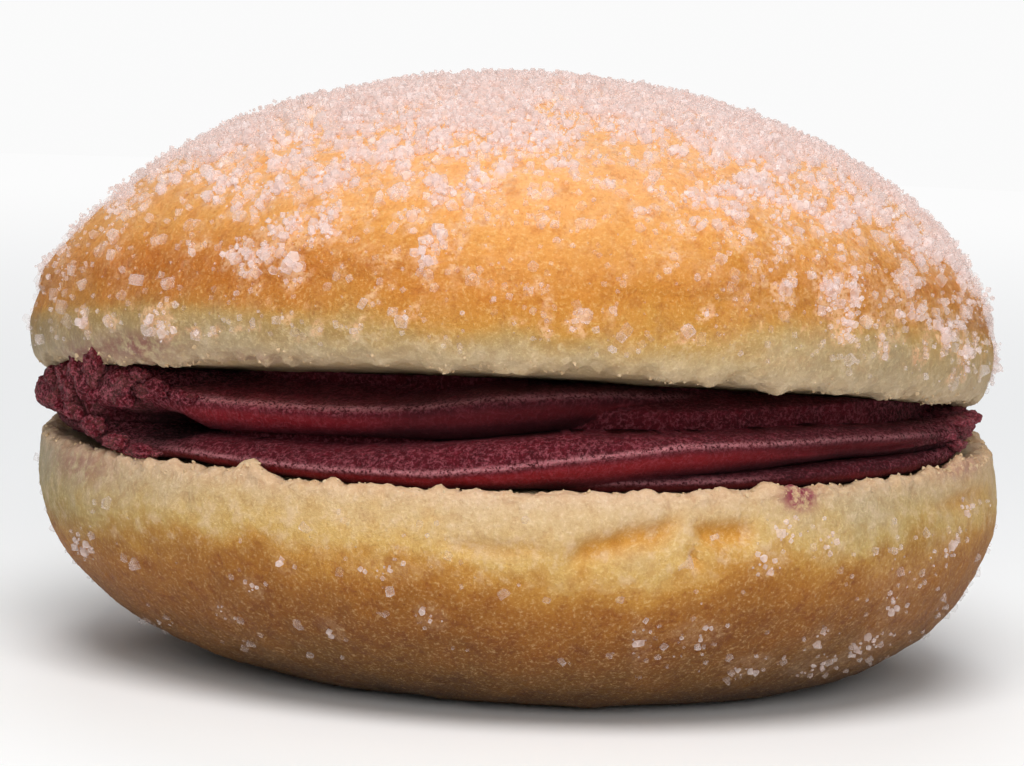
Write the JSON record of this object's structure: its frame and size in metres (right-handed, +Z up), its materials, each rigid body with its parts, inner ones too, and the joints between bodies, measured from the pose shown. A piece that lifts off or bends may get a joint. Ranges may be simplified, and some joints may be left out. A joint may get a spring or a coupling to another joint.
{
  "type": "jelly filled doughnut",
  "caption": "Round sugar-coated yeast doughnut split level along its pale waist, with dark red jelly piped to and fro across the open front.",
  "frame": {"origin": "centre of the flat spot that the doughnut rests on", "axes": "+Z up, -Y out of the open front, +X to the right seen from the front"},
  "size_m": [0.085, 0.082, 0.0523],
  "materials": {
    "crust": "fried golden-brown crust with a pale waist and coarse sugar",
    "jelly": "stiff dark red jelly, half gloss"
  },
  "bodies": {
    "root": {"doughnut_base": "crust", "jelly_filling": "jelly", "doughnut_lid": "crust"}
  },
  "joints": []
}
